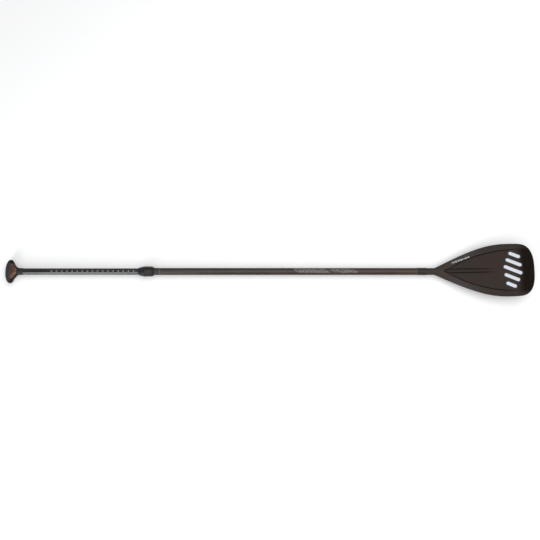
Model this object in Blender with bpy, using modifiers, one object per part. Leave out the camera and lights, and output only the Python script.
"""An adjustable single-blade paddle for stand-up paddling, lying face up.

X runs along the shaft from the palm grip to the blade tip, Y across the blade, Z up.
The origin is the centre of the paddle's footprint, on the surface that it lies on.
"""

import math

import bmesh
import bpy
from mathutils import Matrix, Vector

MM = 0.001

# Driving dimensions
OVERALL = 2056 * MM  # tip to tip, with the adjusting scale at 206 cm
BLADE_WIDTH = 207 * MM
LOWER_R = 14.0 * MM  # outer radius of the lower shaft
LOWER_WALL = 1.0 * MM
UPPER_R = 12.7 * MM  # outer radius of the sliding upper shaft
UPPER_WALL = 1.2 * MM
AXIS_Z = 27.2 * MM  # height of the shaft's axis above the ground
CANT = math.radians(7.5)  # how far the blade leans away from the shaft's line
CLAMP_R = 20.2 * MM

# Places along the shaft
GRIP_TOP = -OVERALL / 2
GRIP_LENGTH = 70 * MM
UPPER_TOP = GRIP_TOP + 34 * MM
UPPER_END = -350 * MM
CLAMP_NOSE = -506.5 * MM
CLAMP_TAIL = -443.5 * MM
BOLT_X = -467.5 * MM
LOWER_TOP = -466.5 * MM
FERRULE_TOP = 587 * MM
JOINT_X = 623 * MM  # where the shaft ends against the blade's neck
SPIGOT_TOP = JOINT_X - 86 * MM
BUTTON_X = JOINT_X - 18 * MM
TIP = OVERALL / 2

# Fits
GAP = 0.3 * MM
SLIDE_GAP = 0.15 * MM
ROUND_STEPS = 48
SMALL_STEPS = 24

# Clamp, in the plane across the shaft
LEVER_WIDTH = 29 * MM
GROOVE_R = 17.3 * MM
LEVER_INNER_R = 17.7 * MM
LEVER_TIP = 124  # degrees round the shaft, from the side that the pivot is on
CLAMP_CENTRE = (BOLT_X, 0, AXIS_Z)
ACROSS = (math.pi / 2, 0, math.pi / 2)  # turns a flat outline to lie across the shaft
PIVOT_Y = 13.5 * MM
PIVOT_Z = -20.8 * MM
CAM_R = 5.6 * MM
CAM_OFFSET = 0.6 * MM
BARREL_R = 3.5 * MM
BOLT_R = 2.0 * MM
SLIT = 2.4 * MM
NEAR_EAR = 5.0 * MM
FAR_EAR = 11.0 * MM

# Snap button, pointing down and away at 45 degrees
BUTTON_R = 4.0 * MM
BUTTON_TOP = 16.6 * MM
BUTTON_FOOT = 7.6 * MM
BUTTON_TILT = math.radians(45)

PARTS = None
CUTTERS = None


# ---------------------------------------------------------------- scene helpers


def clear_scene():
    for obj in list(bpy.data.objects):
        bpy.data.objects.remove(obj)


def new_collection(name):
    made = bpy.data.collections.new(name)
    bpy.context.scene.collection.children.link(made)
    return made


def material(name, colour, roughness, metallic=0.0):
    made = bpy.data.materials.new(name)
    made.use_nodes = True
    shader = made.node_tree.nodes["Principled BSDF"]
    shader.inputs["Base Color"].default_value = (*colour, 1.0)
    shader.inputs["Roughness"].default_value = roughness
    shader.inputs["Metallic"].default_value = metallic
    return made


def add_object(name, mesh, look=None):
    """A part when it has a material, or else a hidden cutter."""
    obj = bpy.data.objects.new(name, mesh)
    if look is None:
        CUTTERS.objects.link(obj)
        obj.hide_render = True
        obj.display_type = "WIRE"
    else:
        PARTS.objects.link(obj)
        mesh.materials.append(look)
        mesh.shade_smooth()
        mesh.set_sharp_from_angle(angle=math.radians(35))
    return obj


def boolean(obj, operation, other):
    modifier = obj.modifiers.new(operation.title(), "BOOLEAN")
    modifier.operation = operation
    modifier.object = other
    return obj


def cut(obj, *cutters):
    for cutter in cutters:
        boolean(obj, "DIFFERENCE", cutter)
    return obj


def along_shaft(obj):
    """Turns an object's own Z onto the shaft's axis."""
    obj.rotation_euler = (0, math.pi / 2, 0)
    obj.location = (0, 0, AXIS_Z)
    return obj


def signed_area(points):
    following = points[1:] + points[:1]
    return sum(a[0] * b[1] - b[0] * a[1] for a, b in zip(points, following)) / 2


def turned(name, profile, look=None, steps=ROUND_STEPS, closed=True):
    """A shape turned about the shaft's axis from (place along it, radius) points."""
    points = [(radius, place) for place, radius in profile]
    if signed_area(points) > 0:
        points.reverse()
    mesh = bpy.data.meshes.new(name)
    edges = [(i, i + 1) for i in range(len(points) - 1)]
    if closed:
        edges.append((len(points) - 1, 0))
    mesh.from_pydata([(r, 0, z) for r, z in points], edges, [])
    obj = along_shaft(add_object(name, mesh, look))
    screw = obj.modifiers.new("Turn", "SCREW")
    screw.steps = steps
    screw.render_steps = steps
    screw.use_merge_vertices = True
    screw.merge_threshold = 0.01 * MM
    screw.use_smooth_shade = True
    return obj


def tube_profile(start, end, outer, inner, bevel=0.3 * MM):
    """A tube's wall in section, with its outer corners broken."""
    return [
        (start, inner),
        (start, outer - bevel),
        (start + bevel, outer),
        (end - bevel, outer),
        (end, outer - bevel),
        (end, inner),
    ]


def rod_profile(start, end, radius, bevel=0.5 * MM):
    return [
        (start, 0.0),
        (start, radius - bevel),
        (start + bevel, radius),
        (end - bevel, radius),
        (end, radius - bevel),
        (end, 0.0),
    ]


def rod(name, start, end, radius, look=None, steps=SMALL_STEPS):
    """A round bar between two points."""
    axis = Vector(end) - Vector(start)
    mesh = bpy.data.meshes.new(name)
    shape = bmesh.new()
    bmesh.ops.create_cone(
        shape,
        cap_ends=True,
        segments=steps,
        radius1=radius,
        radius2=radius,
        depth=axis.length,
    )
    shape.to_mesh(mesh)
    shape.free()
    obj = add_object(name, mesh, look)
    obj.rotation_mode = "QUATERNION"
    obj.rotation_quaternion = axis.to_track_quat("Z", "Y")
    obj.location = (Vector(start) + Vector(end)) / 2
    return obj


def box(name, low, high, look=None, bevel=0.0):
    mesh = bpy.data.meshes.new(name)
    shape = bmesh.new()
    size = Vector(high) - Vector(low)
    bmesh.ops.create_cube(shape, size=1.0, matrix=Matrix.Diagonal((*size, 1.0)))
    shape.to_mesh(mesh)
    shape.free()
    obj = add_object(name, mesh, look)
    obj.location = (Vector(low) + Vector(high)) / 2
    if bevel:
        modifier = obj.modifiers.new("Bevel", "BEVEL")
        modifier.width = bevel
        modifier.segments = 2
    return obj


def prism(name, outline, half_width, look, place, turn):
    """A flat outline with thickness, made as a filled 2D curve and then a mesh."""
    curve = bpy.data.curves.new(name + "_outline", "CURVE")
    curve.dimensions = "2D"
    curve.fill_mode = "BOTH"
    curve.extrude = half_width
    spline = curve.splines.new("POLY")
    spline.points.add(len(outline) - 1)
    for point, (u, v) in zip(spline.points, outline):
        point.co = (u, v, 0, 1)
    spline.use_cyclic_u = True
    guide = bpy.data.objects.new(name + "_outline", curve)
    CUTTERS.objects.link(guide)
    bpy.context.view_layer.update()
    graph = bpy.context.evaluated_depsgraph_get()
    mesh = bpy.data.meshes.new_from_object(guide.evaluated_get(graph))
    bpy.data.objects.remove(guide)
    shape = bmesh.new()
    shape.from_mesh(mesh)
    bmesh.ops.remove_doubles(shape, verts=shape.verts, dist=0.001 * MM)
    bmesh.ops.recalc_face_normals(shape, faces=shape.faces)
    shape.to_mesh(mesh)
    shape.free()
    mesh.materials.clear()
    obj = add_object(name, mesh, look)
    obj.location = place
    obj.rotation_euler = turn
    return obj


def loft(name, rings, look=None):
    """A closed skin over rings of points, with a flat cap on each end."""
    shape = bmesh.new()
    rows = [[shape.verts.new(point) for point in ring] for ring in rings]
    count = len(rows[0])
    for near, far in zip(rows, rows[1:]):
        for i in range(count):
            j = (i + 1) % count
            shape.faces.new((near[i], near[j], far[j], far[i]))
    shape.faces.new(list(reversed(rows[0])))
    shape.faces.new(rows[-1])
    bmesh.ops.recalc_face_normals(shape, faces=shape.faces)
    mesh = bpy.data.meshes.new(name)
    shape.to_mesh(mesh)
    shape.free()
    return add_object(name, mesh, look)


# ---------------------------------------------------------------- curve helpers


def smooth_step(value, low, high):
    t = min(1.0, max(0.0, (value - low) / (high - low)))
    return t * t * (3 - 2 * t)


def through(points, at):
    """A smooth curve through (position, value) points, read at one position."""
    if at <= points[0][0]:
        return points[0][1]
    if at >= points[-1][0]:
        return points[-1][1]
    i = max(k for k in range(len(points) - 1) if points[k][0] <= at)

    def slope(k):
        low, high = max(k - 1, 0), min(k + 1, len(points) - 1)
        return (points[high][1] - points[low][1]) / (points[high][0] - points[low][0])

    (x0, y0), (x1, y1) = points[i], points[i + 1]
    span = x1 - x0
    t = (at - x0) / span
    rise = 3 * t**2 - 2 * t**3
    start = t**3 - 2 * t**2 + t
    end = t**3 - t**2
    return y0 + (y1 - y0) * rise + span * (slope(i) * start + slope(i + 1) * end)


def arc(centre, radius, start, end, count):
    """Points on an arc, from one angle to another in degrees."""
    angles = [math.radians(start + (end - start) * k / (count - 1)) for k in range(count)]
    return [(centre[0] + radius * math.cos(a), centre[1] + radius * math.sin(a)) for a in angles]


# ---------------------------------------------------------------- palm grip

GRIP_CROWN = 19.3 * MM  # depth from the top to the widest section
GRIP_HALF_WIDTH = 46.4 * MM
GRIP_HALF_THICKNESS = 17.5 * MM
# Half width and half thickness below the widest section, in mm from the top
GRIP_WIDTHS = [
    (19.3, 46.6), (25, 45.2), (29, 40.4), (35, 29.6), (41, 21.4), (47, 16.4),
    (53, 14.2), (59, 13.5), (70, 13.4),
]
GRIP_THICKNESSES = [
    (19.3, 17.5), (27, 17.4), (35, 16.8), (41, 16), (47, 14.9), (53, 14), (59, 13.5), (70, 13.4),
]
CROWN_ANGLES = (8, 15, 23, 32, 41, 50, 60, 70, 80)  # where the crown's sections lie, in degrees
GRIP_SECTIONS = 12  # from the widest section down to the shaft
GRIP_SECTION_POINTS = 40
GRIP_FULLNESS = 2.6  # how square a section is across the palm; 2 is an ellipse
NECK_FULLNESS = 2.0
NECK_START = 25 * MM  # the section turns round between these depths
NECK_END = 50 * MM
THINNEST = 1 * MM  # half thickness under which a section is left out
PAD_DEPTH = 19 * MM
PAD_THICKNESS = 2.5 * MM
INLAY_THICKNESS = 1.5 * MM
INLAY_X = GRIP_TOP + 34.5 * MM
INLAY_HALF = (12 * MM, 25 * MM)
INLAY_TAPER = 0.55  # how much it narrows towards the neck
INLAY_FULLNESS = 3
INLAY_REACH = (4 * MM, 30 * MM)  # where the inlay's prism starts and ends, from the shaft's axis
BLOCK_REACH = 60 * MM  # half size of the block that the palm pad is cut from
OVERSHOOT = 20 * MM  # how far a cutter runs on past what it cuts


def grip_section(depth, inset):
    """The grip's half width and half thickness at a depth below its top."""
    if depth < GRIP_CROWN:
        share = (GRIP_CROWN - depth) / GRIP_CROWN
        swell = math.sqrt(max(0.0, 1 - share**2))
        return GRIP_HALF_WIDTH * swell - inset, GRIP_HALF_THICKNESS * swell - inset
    width = through(GRIP_WIDTHS, depth / MM) * MM
    thickness = through(GRIP_THICKNESSES, depth / MM) * MM
    return width - inset, thickness - inset


def grip_form(name, inset=0.0, look=None):
    """The whole grip as a solid, drawn in by an inset on every side."""
    depths = [GRIP_CROWN * (1 - math.cos(math.radians(a))) for a in CROWN_ANGLES]
    spread = (GRIP_LENGTH - GRIP_CROWN) / (GRIP_SECTIONS - 1)
    depths += [GRIP_CROWN + spread * k for k in range(GRIP_SECTIONS)]
    depths = [d for d in depths if d > inset / 2 and grip_section(d, inset)[1] > THINNEST]
    rings = []
    for number, depth in enumerate(depths):
        place = GRIP_TOP + (depth if number else inset)
        half_width, half_thickness = grip_section(depth, inset)
        rounding = smooth_step(depth, NECK_START, NECK_END)
        fullness = GRIP_FULLNESS + (NECK_FULLNESS - GRIP_FULLNESS) * rounding
        ring = []
        for k in range(GRIP_SECTION_POINTS):
            angle = 2 * math.pi * k / GRIP_SECTION_POINTS
            c, s = math.cos(angle), math.sin(angle)
            y = half_width * math.copysign(abs(c) ** (2 / fullness), c)
            z = half_thickness * math.copysign(abs(s) ** (2 / fullness), s)
            ring.append((place, y, AXIS_Z + z))
        rings.append(ring)
    return loft(name, rings, look)


def inlay_prism(name, margin, side, look=None):
    """A rounded prism through one face of the grip."""
    power = 2 / INLAY_FULLNESS
    half_x, half_y = (half + margin for half in INLAY_HALF)
    rings = []
    for height in INLAY_REACH:
        ring = []
        for k in range(SMALL_STEPS):
            angle = 2 * math.pi * k / SMALL_STEPS
            c, s = math.cos(angle), math.sin(angle)
            u = math.copysign(abs(c) ** power, c)
            v = math.copysign(abs(s) ** power, s) * (1 - INLAY_TAPER * u)
            ring.append((INLAY_X + half_x * u, half_y * v, AXIS_Z + side * height))
        rings.append(ring)
    return loft(name, rings, look)


def pad_block(name, margin, look=None):
    low = (GRIP_TOP - BLOCK_REACH, -BLOCK_REACH, AXIS_Z - BLOCK_REACH)
    high = (GRIP_TOP + PAD_DEPTH + margin, BLOCK_REACH, AXIS_Z + BLOCK_REACH)
    return box(name, low, high, look)


def make_grip(looks):
    outside = grip_form("grip_outside")
    pocket_floor = grip_form("pocket_floor", INLAY_THICKNESS + GAP)
    inlay_floor = grip_form("inlay_floor", INLAY_THICKNESS)
    pad_pocket_floor = grip_form("pad_pocket_floor", PAD_THICKNESS + GAP)
    pad_floor = grip_form("pad_floor", PAD_THICKNESS)

    body = grip_form("grip_body", look=looks["grip"])
    bore_end = GRIP_TOP + GRIP_LENGTH + OVERSHOOT
    bore = turned(
        "grip_bore",
        rod_profile(UPPER_TOP - GAP, bore_end, UPPER_R + SLIDE_GAP, 0.1 * MM),
        closed=False,
    )
    pad_pocket = cut(pad_block("pad_pocket", GAP), pad_pocket_floor)
    cut(body, bore, pad_pocket)

    for side, face in ((1, "front"), (-1, "back")):
        pocket = cut(inlay_prism("inlay_pocket_" + face, GAP, side), pocket_floor)
        cut(body, pocket)
        inlay = inlay_prism("grip_inlay_" + face, 0, side, looks["inlay"])
        boolean(inlay, "INTERSECT", outside)
        cut(inlay, inlay_floor)

    pad = pad_block("palm_pad", 0, looks["pad"])
    boolean(pad, "INTERSECT", outside)
    cut(pad, pad_floor)


# ---------------------------------------------------------------- upper shaft

BUSH_FLANGE = 12 * MM
BUSH_STEM = 15 * MM  # how far the bush reaches up into the upper shaft
TUBE_FIT = 0.25 * MM  # slack round a plug that sits inside a tube
O_RING_R = 0.6 * MM
O_RING_MIDDLE = 12.2 * MM
O_RING_SIDES = 8
FOAM_START = UPPER_END - 60 * MM
FOAM_END = UPPER_END - 20 * MM


def make_upper_shaft(looks):
    inner = UPPER_R - UPPER_WALL
    turned("upper_shaft", tube_profile(UPPER_TOP, UPPER_END, UPPER_R, inner), looks["upper_shaft"])

    start = UPPER_END + GAP
    end = start + BUSH_FLANGE
    ring_x = (start + end) / 2
    flange_r = LOWER_R - LOWER_WALL - TUBE_FIT
    plug_r = inner - TUBE_FIT
    groove_r = O_RING_MIDDLE - O_RING_R - SLIDE_GAP
    groove_half = O_RING_R + SLIDE_GAP
    chamfer = 1 * MM
    turned(
        "slide_bush",
        [
            (UPPER_END - BUSH_STEM, 0),
            (UPPER_END - BUSH_STEM, plug_r - 0.6 * chamfer),
            (UPPER_END - BUSH_STEM + chamfer, plug_r),
            (start, plug_r),
            (start, flange_r),
            (ring_x - groove_half, flange_r),
            (ring_x - groove_half, groove_r),
            (ring_x + groove_half, groove_r),
            (ring_x + groove_half, flange_r),
            (end - chamfer, flange_r),
            (end, flange_r - chamfer),
            (end, 0),
        ],
        looks["nylon"],
        closed=False,
    )

    section = [math.tau * (k + 0.5) / O_RING_SIDES for k in range(O_RING_SIDES)]
    turned(
        "slide_o_ring",
        [(ring_x + O_RING_R * math.cos(a), O_RING_MIDDLE + O_RING_R * math.sin(a)) for a in section],
        looks["rubber"],
    )

    turned(
        "upper_foam_plug",
        rod_profile(FOAM_START, FOAM_END, inner - GAP),
        looks["foam"],
        closed=False,
        steps=SMALL_STEPS,
    )


# ---------------------------------------------------------------- clamp

COLLET_IN_R = UPPER_R + 0.2 * MM
COLLET_OUT_R = LOWER_R - 0.02 * MM
NOSE_LIP = 8 * MM  # how far the collar reaches past the collet ring
NOSE_IN_R = UPPER_R + 0.4 * MM
NOSE_RUN = 21.7 * MM  # length of the long shoulder towards the grip
NOSE_FALL = 6.0 * MM
NOSE_FULLNESS = 1.2
NOSE_RIM = 0.5 * MM  # how far the nose's rim is broken
TAIL_STEP = 0.6 * MM  # the tail starts this far inside the lever's outline
TAIL_FALL = 4.8 * MM
TAIL_FULLNESS = 1.1
BED_END = LEVER_TIP + 9  # the lever's bed runs between these angles, in degrees
BED_START = -80
EAR_TOP = AXIS_Z - 14.6 * MM
SLIT_TOP = AXIS_Z - 8 * MM
RING_SLIT = 1.8 * MM
HEAD_R = 3.5 * MM  # the clamp bolt's head
HEAD_HEIGHT = 4 * MM
HEAD_SEAT_R = 4.1 * MM
HEAD_SEAT_DEPTH = 5.2 * MM
HEAD_FACE = -FAR_EAR + HEAD_SEAT_DEPTH - 1 * MM  # leaves a millimetre for the washer
SOCKET_R = 1.73 * MM  # to the corners of a 3 mm hexagon
SOCKET_DEPTH = 2 * MM
BOLT_END = PIVOT_Y + 3.1 * MM
WASHER_R = 3.8 * MM
ARM_START = -35  # where the lever's outer face leaves the cam, in degrees
ARM_INNER_START = -60
CAM_ANGLES = (130, 380)
# The thumb lip at the lever's tip: radius, and degrees past the tip's angle
LEVER_LIP = ((20.7 * MM, -9), (21.7 * MM, -4), (22.2 * MM, 0), (21.4 * MM, 3), (19.4 * MM, 2))
FORK = 5.2 * MM  # width of the slot that clears the bolt
PIN_FIT = 0.2 * MM
BAR_INSET = 1 * MM  # the pivot's bar and saddle end this far inside the lever's sides
SADDLE_LOW = AXIS_Z - 25.8 * MM
SADDLE_HIGH = AXIS_Z - 17.4 * MM


def shoulder(start, run, radius, fall, fullness):
    """A shoulder's outline: it falls from a radius, over a run, on a superellipse."""
    angles = [math.radians(a) for a in (0, 12, 28, 45, 62, 78, 90)]
    power = 2 / fullness
    return [
        (start + run * math.sin(a) ** power, radius - fall * (1 - max(0.0, math.cos(a)) ** power))
        for a in angles
    ]


def make_collar(looks):
    """The split collar that squeezes the collet ring onto the upper shaft."""
    bore = LOWER_R + SLIDE_GAP
    half = LEVER_WIDTH / 2
    flat = (BOLT_X - half - GAP, BOLT_X + half + GAP)
    nose = shoulder(flat[0], -NOSE_RUN, CLAMP_R, NOSE_FALL, NOSE_FULLNESS)[::-1]
    tail_run = CLAMP_TAIL - flat[1]
    tail = shoulder(flat[1], tail_run, CLAMP_R - TAIL_STEP, TAIL_FALL, TAIL_FULLNESS)
    profile = [(CLAMP_NOSE, NOSE_IN_R), (CLAMP_NOSE, nose[0][1] - NOSE_RIM)]
    profile += nose + tail
    profile += [
        (CLAMP_TAIL, bore),
        (CLAMP_NOSE + NOSE_LIP, bore),
        (CLAMP_NOSE + NOSE_LIP, NOSE_IN_R),
    ]
    collar = turned("clamp_collar", profile, looks["clamp"])

    bed = arc((0, 0), GROOVE_R, BED_END, BED_START, 20)
    bed += arc((0, 0), 2 * CLAMP_R, BED_START, BED_END, 12)
    recess = prism("lever_recess", bed, half + GAP, None, CLAMP_CENTRE, ACROSS)
    cut(collar, recess)

    ears = box(
        "ear_block",
        (BOLT_X - half, -FAR_EAR, 0),
        (BOLT_X + half, NEAR_EAR, EAR_TOP),
        bevel=1.2 * MM,
    )
    boolean(collar, "UNION", ears)
    slit = box(
        "collar_slit",
        (CLAMP_NOSE - 5 * MM, -SLIT / 2, -5 * MM),
        (CLAMP_TAIL + 5 * MM, SLIT / 2, SLIT_TOP),
    )
    bolt_z = AXIS_Z + PIVOT_Z
    far, near = (BOLT_X, -OVERSHOOT, bolt_z), (BOLT_X, OVERSHOOT, bolt_z)
    bolt_hole = rod("bolt_hole", far, near, BOLT_R + GAP)
    seat_end = (BOLT_X, -FAR_EAR + HEAD_SEAT_DEPTH, bolt_z)
    head_seat = rod("head_seat", far, seat_end, HEAD_SEAT_R)
    cut(collar, slit, bolt_hole, head_seat)

    ring = turned(
        "collet_ring",
        tube_profile(CLAMP_NOSE + NOSE_LIP + GAP, LOWER_TOP - GAP, COLLET_OUT_R, COLLET_IN_R),
        looks["nylon"],
    )
    ring_slit = box(
        "ring_slit",
        (CLAMP_NOSE, -RING_SLIT / 2, 0),
        (LOWER_TOP + 5 * MM, RING_SLIT / 2, SLIT_TOP),
    )
    cut(ring, ring_slit)


def make_lever(looks):
    """The cam lever: an arm that wraps the collar, and a forked cam on the barrel nut."""
    outer = arc((0, 0), CLAMP_R, ARM_START, LEVER_TIP + LEVER_LIP[0][1] - 5, 14)
    end = []
    for radius, turn in LEVER_LIP:
        angle = math.radians(LEVER_TIP + turn)
        end.append((radius * math.cos(angle), radius * math.sin(angle)))
    inner = arc((0, 0), LEVER_INNER_R, LEVER_TIP - 1, ARM_INNER_START, 18)
    cam = arc((PIVOT_Y - CAM_OFFSET, PIVOT_Z), CAM_R, *CAM_ANGLES, 16)
    outline = outer + end + inner + cam
    lever = prism("cam_lever", outline, LEVER_WIDTH / 2, looks["lever"], CLAMP_CENTRE, ACROSS)

    pivot = (PIVOT_Y, AXIS_Z + PIVOT_Z)
    pin_hole = rod(
        "pin_hole",
        (BOLT_X - OVERSHOOT, *pivot),
        (BOLT_X + OVERSHOOT, *pivot),
        BARREL_R + PIN_FIT,
    )
    fork = box(
        "fork_slot",
        (BOLT_X - FORK / 2, 0, -5 * MM),
        (BOLT_X + FORK / 2, PIVOT_Y + OVERSHOOT, pivot[1] + BOLT_R + 2 * GAP),
    )
    cut(lever, pin_hole, fork)

    half_length = LEVER_WIDTH / 2 - BAR_INSET
    nut = rod(
        "barrel_nut",
        (BOLT_X - half_length, *pivot),
        (BOLT_X + half_length, *pivot),
        BARREL_R,
        looks["brass"],
    )
    thread = rod(
        "barrel_thread",
        (BOLT_X, PIVOT_Y - 10 * MM, pivot[1]),
        (BOLT_X, PIVOT_Y + 10 * MM, pivot[1]),
        BOLT_R + SLIDE_GAP,
    )
    cut(nut, thread)


def make_clamp_screw(looks):
    """The bolt that pulls the collar's ears together, with what it bears on."""

    def at(y):
        return (BOLT_X, y, AXIS_Z + PIVOT_Z)

    overlap = 1 * MM  # how far the shank reaches into the head
    bolt = rod("clamp_bolt", at(HEAD_FACE - overlap), at(BOLT_END), BOLT_R, looks["steel"])
    head = rod("bolt_head", at(HEAD_FACE - HEAD_HEIGHT), at(HEAD_FACE), HEAD_R)
    boolean(bolt, "UNION", head)
    socket_floor = HEAD_FACE - HEAD_HEIGHT + SOCKET_DEPTH
    socket = rod("hex_socket", at(socket_floor - 8 * MM), at(socket_floor), SOCKET_R, steps=6)
    cut(bolt, socket)

    hole = rod("washer_hole", at(-OVERSHOOT), at(OVERSHOOT), BOLT_R + PIN_FIT)
    washer_end = HEAD_FACE + 1 * MM - SLIDE_GAP
    washer = rod("bolt_washer", at(HEAD_FACE + SLIDE_GAP), at(washer_end), WASHER_R, looks["steel"])
    cut(washer, hole)

    half = LEVER_WIDTH / 2 - BAR_INSET
    saddle = box(
        "cam_saddle",
        (BOLT_X - half, NEAR_EAR + PIN_FIT, SADDLE_LOW),
        (BOLT_X + half, PIVOT_Y - CAM_OFFSET - CAM_R - GAP, SADDLE_HIGH),
        looks["steel"],
        bevel=0.4 * MM,
    )
    cut(saddle, hole)


# ---------------------------------------------------------------- lower shaft


FERRULE_WALL = 0.5 * MM
FERRULE_FIT = 0.1 * MM
CORNER = 0.25 * MM  # how far the ends of the thin tubes are broken
LOWER_FOAM_START = SPIGOT_TOP - 45 * MM
LOWER_FOAM_END = SPIGOT_TOP - 10 * MM
FLANGE_R = 5.2 * MM  # the snap button's flange
FLANGE_HEIGHT = 1 * MM
DOME = 2.2 * MM
DOME_FULLNESS = 0.7
SPRING_HALF = 0.3 * MM  # half the spring strip's thickness
SPRING_HALF_WIDTH = 3.6 * MM
SPRING_END = 7 * MM  # how far the strip runs past the button's centre, each way
SPRING_LENGTH = 46 * MM
SPRING_FOOT = -8.6 * MM  # where the strip's far leg rests
BEND_R = 1.9 * MM


def radial(distance):
    """A point that far from the shaft's axis, in the button's direction."""
    return (BUTTON_X, distance * math.sin(BUTTON_TILT), AXIS_Z - distance * math.cos(BUTTON_TILT))


def button_hole(name):
    return rod(name, radial(5 * MM), radial(25 * MM), BUTTON_R + SLIDE_GAP)


def make_lower_shaft(looks):
    inner = LOWER_R - LOWER_WALL
    shaft = turned(
        "lower_shaft",
        tube_profile(LOWER_TOP, JOINT_X - GAP, LOWER_R, inner, CORNER),
        looks["lower_shaft"],
    )
    cut(shaft, button_hole("shaft_button_hole"))

    ferrule_in_r = LOWER_R + FERRULE_FIT
    ferrule_r = ferrule_in_r + FERRULE_WALL
    ferrule = turned(
        "joint_ferrule",
        tube_profile(FERRULE_TOP, JOINT_X - GAP, ferrule_r, ferrule_in_r, CORNER),
        looks["ferrule"],
    )
    cut(ferrule, button_hole("ferrule_button_hole"))

    turned(
        "lower_foam_plug",
        rod_profile(LOWER_FOAM_START, LOWER_FOAM_END, inner - GAP),
        looks["foam"],
        closed=False,
        steps=SMALL_STEPS,
    )


def spring_line():
    """The spring strip's middle line, from under the button, round the bend, and back."""
    bend_x = BUTTON_X - SPRING_LENGTH
    near_bend = bend_x + 6 * MM
    leg = 2.2 * MM
    upper = BUTTON_FOOT - GAP - SPRING_HALF
    return [
        (BUTTON_X + SPRING_END, upper),
        (BUTTON_X - SPRING_END, upper),
        (near_bend, leg),
        (bend_x + BEND_R, BEND_R),
        (bend_x, 0),
        (bend_x + BEND_R, -BEND_R),
        (near_bend, -leg),
        (BUTTON_X - SPRING_END, SPRING_FOOT),
        (BUTTON_X + SPRING_END, SPRING_FOOT),
    ]


def make_snap_button(looks):
    """A domed button on a bent spring strip, inside the blade's spigot."""
    direction = (Vector(radial(1.0)) - Vector(radial(0.0))).normalized()
    flange_top = BUTTON_FOOT + FLANGE_HEIGHT
    profile = [
        (BUTTON_FOOT, 0),
        (BUTTON_FOOT, FLANGE_R),
        (flange_top, FLANGE_R),
        (flange_top, BUTTON_R),
    ]
    for degrees in (0, 20, 40, 60, 75):
        angle = math.radians(degrees)
        height = BUTTON_TOP - DOME + DOME * math.sin(angle)
        profile.append((height, BUTTON_R * math.cos(angle) ** DOME_FULLNESS))
    profile.append((BUTTON_TOP, 0))
    button = turned("snap_button", profile, looks["nylon"], steps=SMALL_STEPS, closed=False)
    button.rotation_mode = "QUATERNION"
    button.rotation_quaternion = direction.to_track_quat("Z", "Y")
    button.location = (BUTTON_X, 0, AXIS_Z)

    outline = strip(spring_line(), SPRING_HALF)
    place = (0, 0, AXIS_Z)
    spring = prism("snap_spring", outline, SPRING_HALF_WIDTH, looks["steel"], place, (0, 0, 0))
    # The strip's outline lies in the plane of the shaft's axis and the button
    turn = Matrix(((1, 0, 0), (0, direction.y, -direction.z), (0, direction.z, direction.y)))
    spring.rotation_mode = "QUATERNION"
    spring.rotation_quaternion = turn.to_quaternion()


def strip(line, half):
    """The outline of a thin strip that follows a line."""
    left, right = [], []
    for k, here in enumerate(line):
        before = Vector(line[max(k - 1, 0)])
        after = Vector(line[min(k + 1, len(line) - 1)])
        along = (after - before).normalized()
        side = Vector((-along.y, along.x)) * half
        left.append(tuple(Vector(here) + side))
        right.append(tuple(Vector(here) - side))
    return left + right[::-1]


# ---------------------------------------------------------------- blade

NECK_R = 13.6 * MM
SPIGOT_R = LOWER_R - LOWER_WALL - TUBE_FIT
SPIGOT_BORE = 10.3 * MM
SPIGOT_FLOOR = JOINT_X - 8 * MM
BEND_START = 630 * MM
BEND_END = 715 * MM
SPOON_START = 920 * MM
SPOON = math.radians(4)  # extra lean at the very tip
TIP_START = 965 * MM  # where the corners of the tip begin
TIP_FULLNESS = 2.8
RIM = 1.4 * MM  # half thickness at the edge
RIM_RADIUS = 2.2 * MM
# Half width from the neck to the tip, before the tip's corners, in mm
BLADE_HALF_WIDTHS = [
    (653, 13.6), (664, 18), (700, 35.4), (760, 62.8), (816, 84.4),
    (862, 96.9), (905, 102.7), (945, 103.5), (985, 101.8), (1028, 99.5),
]
# Half thickness of the neck as it flattens into the blade, in mm
NECK_THICKNESSES = [(640, 13.6), (665, 12.6), (690, 10.4), (730, 8), (780, 6)]
# Where the side grooves run, as a share of the half width, against mm along the shaft
GROOVE_SHARES = [
    (690, 0.2), (714, 0.31), (737, 0.485), (758, 0.59), (794, 0.667),
    (836, 0.702), (885, 0.739), (933, 0.77), (985, 0.8),
]
GROOVE_HALF = 2.6 * MM
GROOVE_DEPTH = 1.3 * MM
GROOVE_FADES = ((695 * MM, 720 * MM), (900 * MM, 990 * MM))  # where it deepens and dies away
CROWNS = [(700, 8.5), (800, 5.4), (900, 3.6), (1028, 2.2)]  # half thickness, in mm
# The stiffening rib down the middle of each face: where it ends, and its half width
FRONT_RIB = (896 * MM, 8.6 * MM)
BACK_RIB = (860 * MM, 12 * MM)
RIB_HEIGHT = 2.2 * MM
RIB_START = 700 * MM
RIB_FALL = 720 * MM  # where it starts to sink
RIB_TAPER = 0.45
FLATTEN = (672 * MM, 735 * MM)  # where the round neck turns into the flat blade
SIDE_POINTS = 11  # from the centre line to the rim, on one face
# Where the blade's sections lie along the shaft, in mm
BLADE_STATIONS = [
    640, 653, 660, 670, 681, 692, 703, 714, 726, 740, 756, 774, 794, 816, 840,
    862, 884, 906, 928, 948, 965, 978, 990, 1000, 1008, 1014, 1019, 1023, 1026,
]


def blade_lean(x):
    """The angle of the blade's centre line at a place along the shaft."""
    return CANT * smooth_step(x, BEND_START, BEND_END) + SPOON * smooth_step(x, SPOON_START, TIP)


def blade_heights():
    """Height of the blade's centre line over the shaft's axis, added up along X."""
    step = 1 * MM
    heights = [(BEND_START, 0.0)]
    while heights[-1][0] < TIP:
        x, height = heights[-1]
        heights.append((x + step, height + step * math.tan(blade_lean(x + step / 2))))
    return heights


HEIGHTS = blade_heights()


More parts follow.
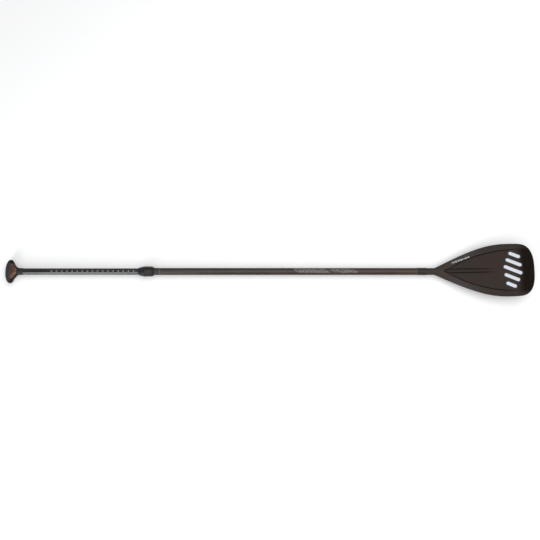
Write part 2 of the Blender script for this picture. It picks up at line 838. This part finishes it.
def blade_height(x):
    if x <= BEND_START:
        return 0.0
    place = (x - BEND_START) / (1 * MM)
    low = min(int(place), len(HEIGHTS) - 2)
    share = place - low
    return HEIGHTS[low][1] * (1 - share) + HEIGHTS[low + 1][1] * share


def half_width(x):
    base = through(BLADE_HALF_WIDTHS, x / MM) * MM * BLADE_WIDTH / (207 * MM)
    if x <= TIP_START:
        return base
    share = min(0.996, (x - TIP_START) / (TIP - TIP_START))
    return base * (1 - share**TIP_FULLNESS) ** (1 / TIP_FULLNESS)


def rib_half_width(x, rib):
    end, half = rib
    return half * (1 - RIB_TAPER * smooth_step(x, RIB_START, end))


def face_profile(x, across, front):
    """Height of the front or back face over the blade's middle surface."""
    half = half_width(x)
    crown = through(CROWNS, x / MM) * MM
    share = min(1.0, abs(across) / half)
    height = RIM + (crown - RIM) * (1 - share**2)
    rib = FRONT_RIB if front else BACK_RIB
    rise = RIB_HEIGHT * (1 - smooth_step(x, RIB_FALL, rib[0]))
    width = rib_half_width(x, rib)
    height += rise * (1 - smooth_step(abs(across), 0.5 * width, width))
    if front:
        groove = through(GROOVE_SHARES, x / MM) * half
        deepens, dies = GROOVE_FADES
        depth = GROOVE_DEPTH * smooth_step(x, *deepens) * (1 - smooth_step(x, *dies))
        height -= depth * max(0.0, 1 - abs(abs(across) - groove) / GROOVE_HALF)
    near_rim = (half - abs(across)) / RIM_RADIUS
    if near_rim < 1:
        height *= math.sqrt(max(0.0, 1 - (1 - near_rim) ** 2))
    return height


def places_across(x, front):
    """Where the points of one face lie, from the centre line out to the rim."""
    half = half_width(x)
    if front:
        groove = through(GROOVE_SHARES, x / MM) * half
        rib = rib_half_width(x, FRONT_RIB)
        inner, outer = groove - GROOVE_HALF, groove + GROOVE_HALF
        wide = [0, rib / 2, rib, (rib + inner) / 2, inner, groove, outer]
    else:
        rib = rib_half_width(x, BACK_RIB)
        wide = [0, rib / 2, rib] + [rib + (half * 0.8 - rib) * k / 4 for k in range(1, 5)]
    wide += [(wide[-1] + half - RIM_RADIUS) / 2, half - RIM_RADIUS, half - 0.3 * RIM_RADIUS, half]
    return wide


def blade_ring(x):
    """One section of the blade, across the shaft, as a ring of points."""
    half = half_width(x)
    depth = through(NECK_THICKNESSES, x / MM) * MM
    flat = smooth_step(x, *FLATTEN)
    centre = AXIS_Z + blade_height(x)

    def side(front):
        wide = places_across(x, front)
        found = []
        for k in range(SIDE_POINTS):
            angle = math.pi / 2 * k / (SIDE_POINTS - 1)
            round_y, round_z = half * math.sin(angle), depth * math.cos(angle)
            y = round_y + (wide[k] - round_y) * flat
            z = round_z + (face_profile(x, wide[k], front) - round_z) * flat
            found.append((y, z))
        return found

    front, back = side(True), side(False)
    right = [(y, centre + z) for y, z in front] + [(y, centre - z) for y, z in back[-2::-1]]
    left = [(-y, z) for y, z in right[-2:0:-1]]
    return [(x, y, z) for y, z in right + left]


def round_ring(x, radius, like):
    """A circle with as many points as a blade section, at the same angles."""
    count = len(like)
    angles = [math.pi / 2 - math.tau * k / count for k in range(count)]
    return [(x, radius * math.cos(a), AXIS_Z + radius * math.sin(a)) for a in angles]


def make_blade(looks):
    """The moulded blade, its neck, and the hollow spigot that plugs into the shaft."""
    sections = [blade_ring(x * MM) for x in BLADE_STATIONS] + [blade_ring(TIP)]
    like = sections[0]
    chamfer = 1 * MM
    edge = 0.3 * MM
    rings = [
        round_ring(x, radius, like)
        for x, radius in (
            (SPIGOT_FLOOR, SPIGOT_BORE),
            (SPIGOT_TOP, SPIGOT_BORE),
            (SPIGOT_TOP, SPIGOT_R - chamfer),
            (SPIGOT_TOP + chamfer, SPIGOT_R),
            (JOINT_X, SPIGOT_R),
            (JOINT_X, NECK_R - edge),
            (JOINT_X + edge, NECK_R),
        )
    ]
    blade = loft("blade", rings + sections, looks["blade"])
    cut(blade, button_hole("spigot_button_hole"))


# ---------------------------------------------------------------- the paddle


def make_looks():
    black = (0.03, 0.03, 0.032)
    return {
        "grip": material("grip_nylon", (0.035, 0.034, 0.036), 0.5),
        "inlay": material("copper_inlay", (0.16, 0.055, 0.025), 0.4, 0.3),
        "pad": material("palm_rubber", (0.03, 0.031, 0.037), 0.75),
        "upper_shaft": material("upper_tube", (0.04, 0.042, 0.043), 0.25, 0.4),
        "lower_shaft": material("lower_tube", (0.07, 0.056, 0.048), 0.35),
        "clamp": material("clamp_nylon", black, 0.5),
        "lever": material("lever_nylon", (0.045, 0.038, 0.036), 0.45),
        "nylon": material("white_nylon", (0.6, 0.6, 0.58), 0.5),
        "rubber": material("black_rubber", (0.02, 0.02, 0.02), 0.8),
        "foam": material("eva_foam", (0.12, 0.12, 0.13), 0.9),
        "steel": material("stainless_steel", (0.6, 0.6, 0.6), 0.3, 1.0),
        "brass": material("brass", (0.6, 0.45, 0.2), 0.3, 1.0),
        "ferrule": material("ferrule_nylon", (0.03, 0.024, 0.02), 0.5),
        "blade": material("blade_nylon", (0.042, 0.032, 0.028), 0.5),
    }


clear_scene()
PARTS = new_collection("single_blade_paddle")
CUTTERS = new_collection("cutters")
LOOKS = make_looks()
make_grip(LOOKS)
make_upper_shaft(LOOKS)
make_collar(LOOKS)
make_lever(LOOKS)
make_clamp_screw(LOOKS)
make_lower_shaft(LOOKS)
make_snap_button(LOOKS)
make_blade(LOOKS)
